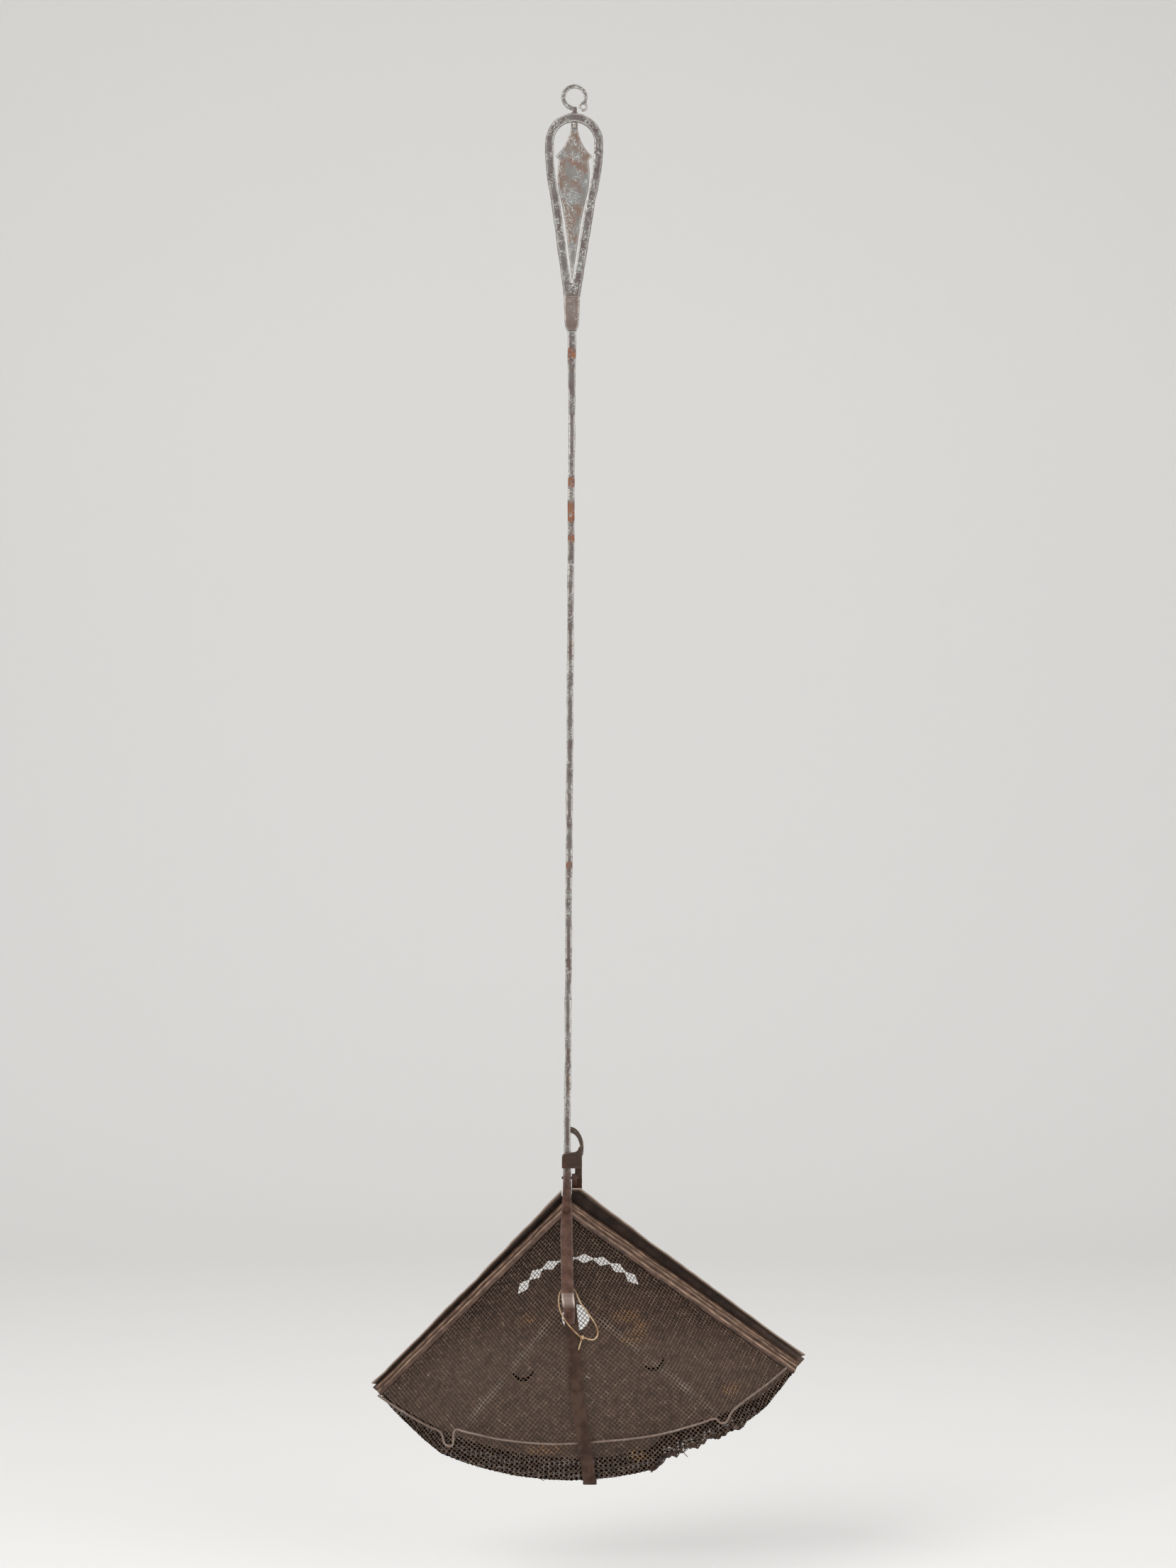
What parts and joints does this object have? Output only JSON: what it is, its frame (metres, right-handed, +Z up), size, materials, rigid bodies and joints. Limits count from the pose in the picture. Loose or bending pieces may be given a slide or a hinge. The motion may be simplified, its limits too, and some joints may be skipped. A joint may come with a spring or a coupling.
{
  "type": "chestnut roaster",
  "caption": "Long-handled hearth roaster with a wire-cloth basket on folded side edges, a pierced lid hinged behind it, a bow grip with a leaf inside and a swivelling hanging hook.",
  "frame": {"origin": "top of the inside of the hanging hook's eye, where it rests on a nail", "axes": "+Z up along the handle, with the basket below; -Y out from the basket's outer side, the side seen in the picture; +X to the right in the picture"},
  "size_m": [0.3153, 0.1045, 0.9982],
  "materials": {
    "hook_iron": "dark forged iron, rubbed brighter on its edges",
    "leaf_iron": "grey forged iron, mottled, rubbed brighter on its edges",
    "bow_iron": "grey forged iron, mottled, rubbed brighter on its edges",
    "bar_iron": "grey to purple-brown forged iron with rust patches",
    "strap_iron": "brown to purple forged iron",
    "rivet_iron": "dark iron",
    "binding_sheet": "folded sheet iron with a tan-brown film",
    "wire_cloth": "dark brown oxidised iron wire cloth with rust patches",
    "rim_wire_iron": "dark brown iron wire",
    "lid_sheet": "rusty brown sheet iron",
    "twine": "natural plant-fibre twine"
  },
  "bodies": {
    "hook": {"hanging_hook": "hook_iron", "leaf_ornament": "leaf_iron"},
    "handle": {"grip_bow": "bow_iron", "collar": "bow_iron", "handle_bar": "bar_iron", "lower_strap": "strap_iron", "apex_rivet": "rivet_iron", "lap_rivet": "rivet_iron", "toe_rivet": "rivet_iron", "binding_left": "binding_sheet", "binding_right": "binding_sheet", "mesh_left": "wire_cloth", "mesh_right": "wire_cloth", "mesh_floor": "wire_cloth", "mesh_toe": "wire_cloth", "mesh_hem": "wire_cloth", "rim_wire": "rim_wire_iron", "hinge_pin": "rivet_iron", "twine_loop": "twine", "twine_knot": "twine", "twine_tail": "twine"},
    "lid": {"lid_pan": "lid_sheet", "lid_arm": "lid_sheet", "thumb_lever": "lid_sheet", "arm_rivets": "rivet_iron"}
  },
  "joints": [
    {"name": "hook_swivel", "type": "hinge", "parent": "hook", "child": "handle", "pos_m": [-0.0003, 0, -0.02], "axis": [0.0148, 0, 0.9999], "continuous": true},
    {"name": "lid_hinge", "type": "hinge", "parent": "handle", "child": "lid", "pos_m": [-0.004, 0.0017, -0.7811], "axis": [1, 0, 0], "range_deg": [0, 28]}
  ]
}
